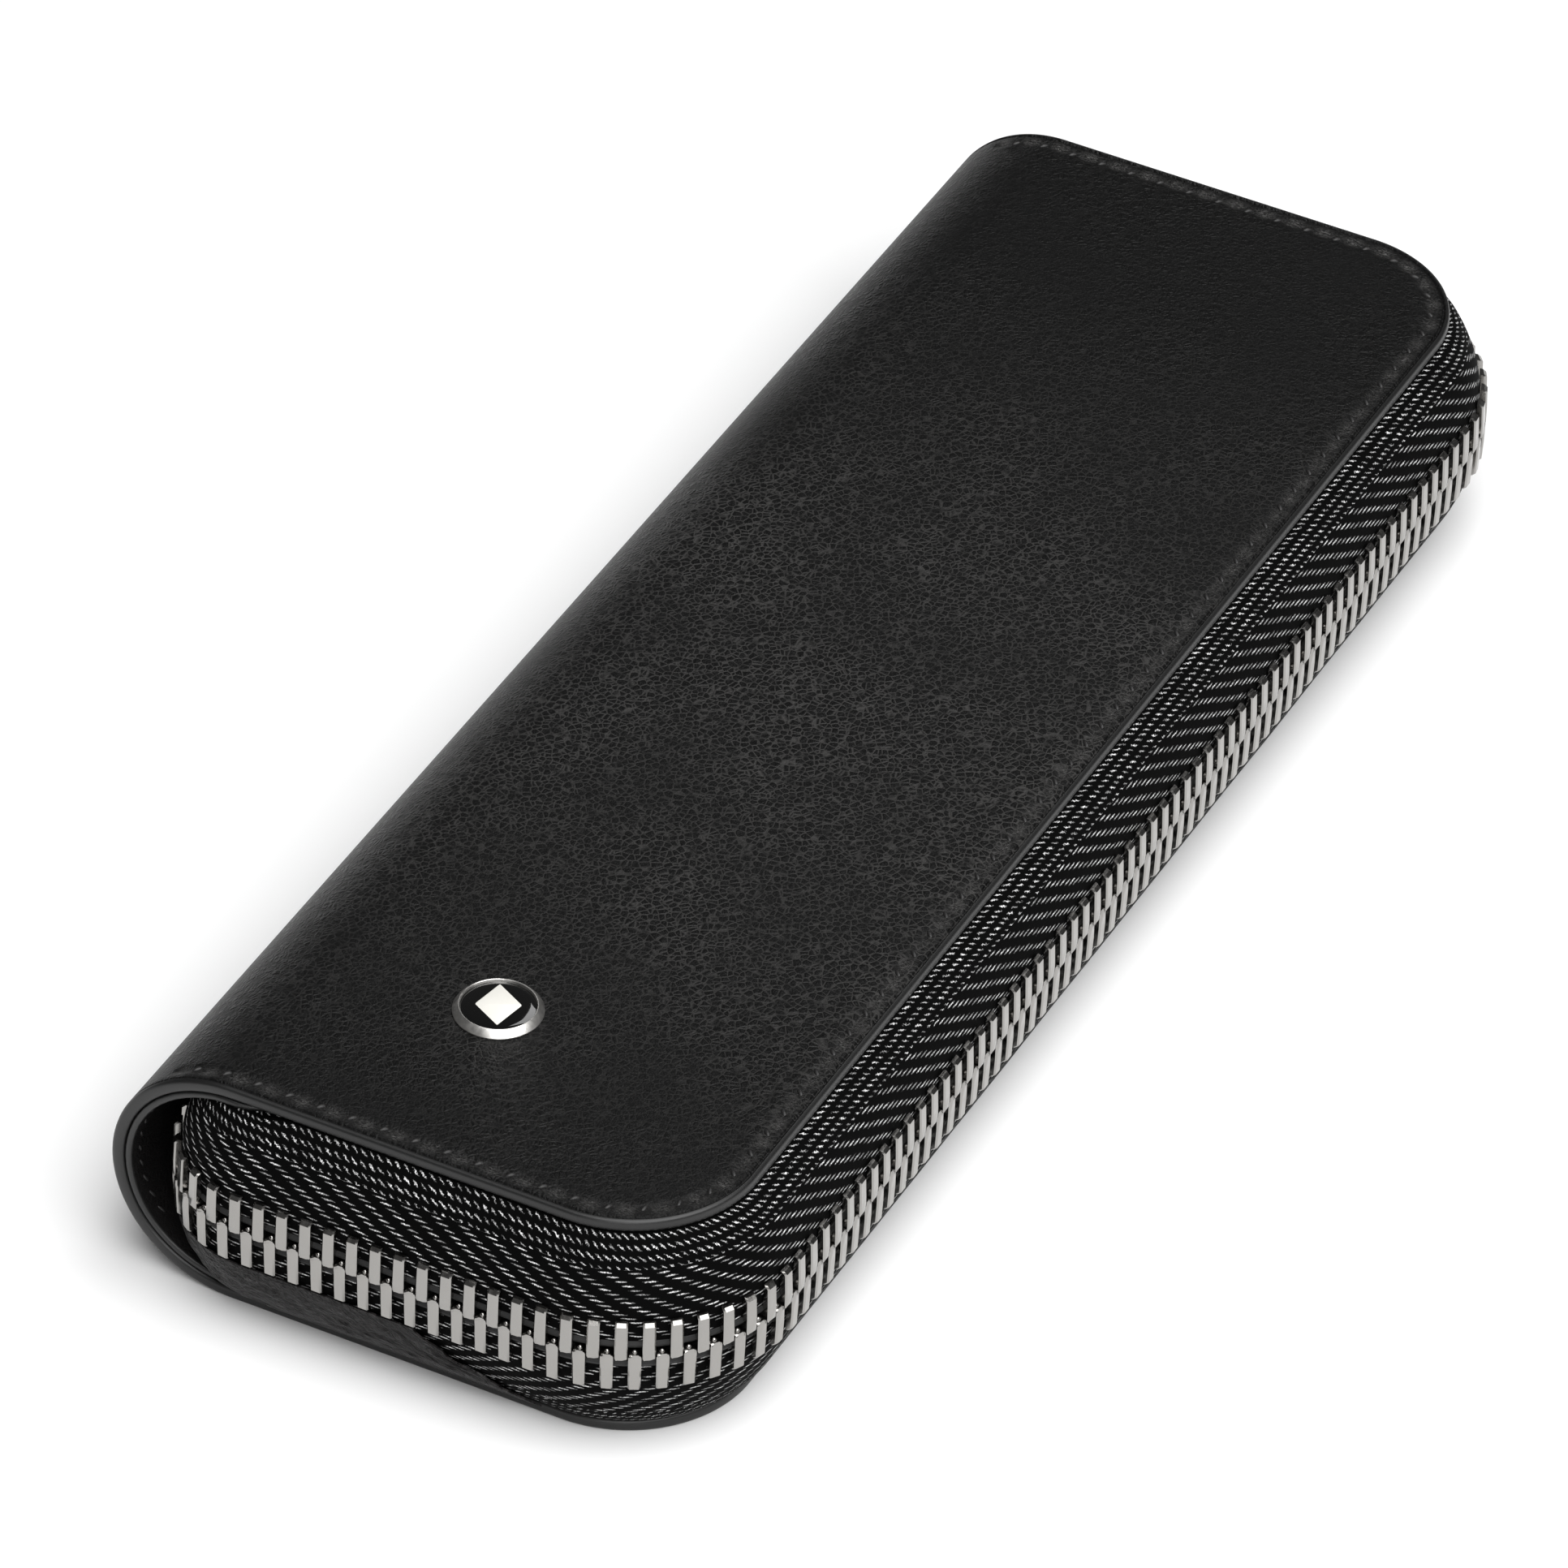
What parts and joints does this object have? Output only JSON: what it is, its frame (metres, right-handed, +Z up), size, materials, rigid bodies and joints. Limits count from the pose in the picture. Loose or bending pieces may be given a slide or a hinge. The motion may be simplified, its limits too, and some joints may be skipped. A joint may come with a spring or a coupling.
{
  "type": "fountain pen case",
  "caption": "Slim zip-around leather case that folds open flat at a round spine, with inner sleeves for fountain pens",
  "frame": {"origin": "middle of the flat underside, between the spine's outside and the opening edge of the cover", "axes": "+Z up through the lid, +X from the spine to the opening side, +Y along the spine to the rear end"},
  "size_m": [0.06, 0.1716, 0.0243],
  "materials": {
    "leather": "smooth calf, aniline black, satin",
    "lining": "lining leather, matte",
    "board": "bonded fibre board",
    "tape": "woven herringbone polyester tape",
    "zip_metal": "polished nickel",
    "thread": "waxed thread",
    "badge_metal": "polished",
    "badge_black": "gloss resin",
    "badge_white": "gloss resin"
  },
  "bodies": {
    "base": {"cover_bottom": "leather", "board_bottom": "board", "lining_bottom": "lining", "tape_lower": "tape", "teeth_lower": "zip_metal", "stops_lower": "zip_metal", "facing_front": "lining", "facing_rear": "lining", "stitching_bottom": "thread", "pen_sleeve": "lining", "pen_loops": "lining", "loop_stitching": "thread"},
    "spine": {"cover_spine": "leather", "spine_stiffener": "board", "lining_spine": "lining", "lining_stitching": "thread"},
    "lid": {"cover_top": "leather", "board_top": "board", "lining_top": "lining", "tape_upper": "tape", "teeth_upper": "zip_metal", "stops_upper": "zip_metal", "stitching_top": "thread", "badge_bezel": "badge_metal", "badge_disc": "badge_black", "badge_inlay": "badge_white", "badge_washer": "zip_metal"},
    "slider": {"slider_body": "zip_metal", "slider_pin": "zip_metal"},
    "puller": {"pull_tab": "zip_metal"}
  },
  "joints": [
    {"name": "spine_fold", "type": "hinge", "parent": "base", "child": "spine", "pos_m": [-0.02456, 0, 0.00344], "axis": [0, -1, 0], "range_deg": [0, 89]},
    {"name": "lid_fold", "type": "hinge", "parent": "spine", "child": "lid", "pos_m": [-0.02456, 0, 0.02006], "axis": [0, -1, 0], "range_deg": [0, 89]},
    {"name": "zip_slide", "type": "slide", "parent": "base", "child": "slider", "axis": [1, 0, 0], "range_m": [0, 0.01945]},
    {"name": "pull_swing", "type": "hinge", "parent": "slider", "child": "puller", "pos_m": [-0.00845, 0.08665, 0.01175], "axis": [0, 0, 1], "range_deg": [0, 175]}
  ],
  "couplings": [
    {"joint": "lid_fold", "follows": "spine_fold", "ratio": 1}
  ]
}
